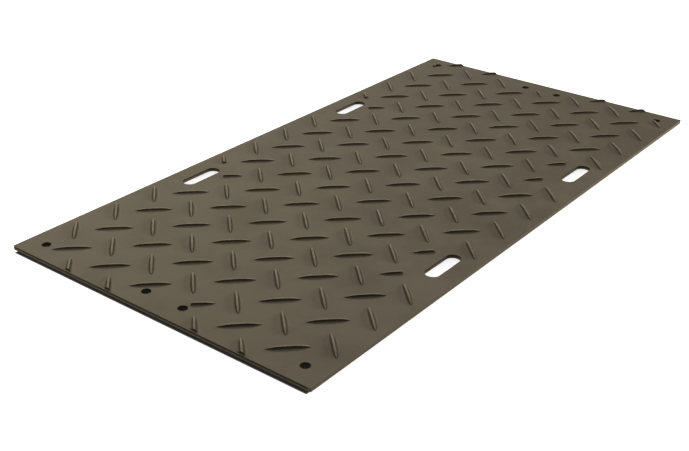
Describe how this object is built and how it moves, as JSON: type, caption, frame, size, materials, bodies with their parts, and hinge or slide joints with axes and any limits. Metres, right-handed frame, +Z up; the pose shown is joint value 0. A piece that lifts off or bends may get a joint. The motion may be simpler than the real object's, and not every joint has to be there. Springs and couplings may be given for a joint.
{
  "type": "ground protection mat",
  "caption": "Rectangular moulded plastic ground mat with crossed raised cleats on both faces, link holes at its short edges and hand slots along its long edges.",
  "frame": {"origin": "middle of the mat in plan, on the plane of the underside cleat crests that it stands on", "axes": "+X along the length, +Y across the width, +Z up out of the tread"},
  "size_m": [2.44, 1.22, 0.0287],
  "materials": {
    "moulded_polyethylene": "black recycled polyethylene, compression moulded, satin, a little worn"
  },
  "bodies": {
    "root": {"mat": "moulded_polyethylene"}
  },
  "joints": []
}
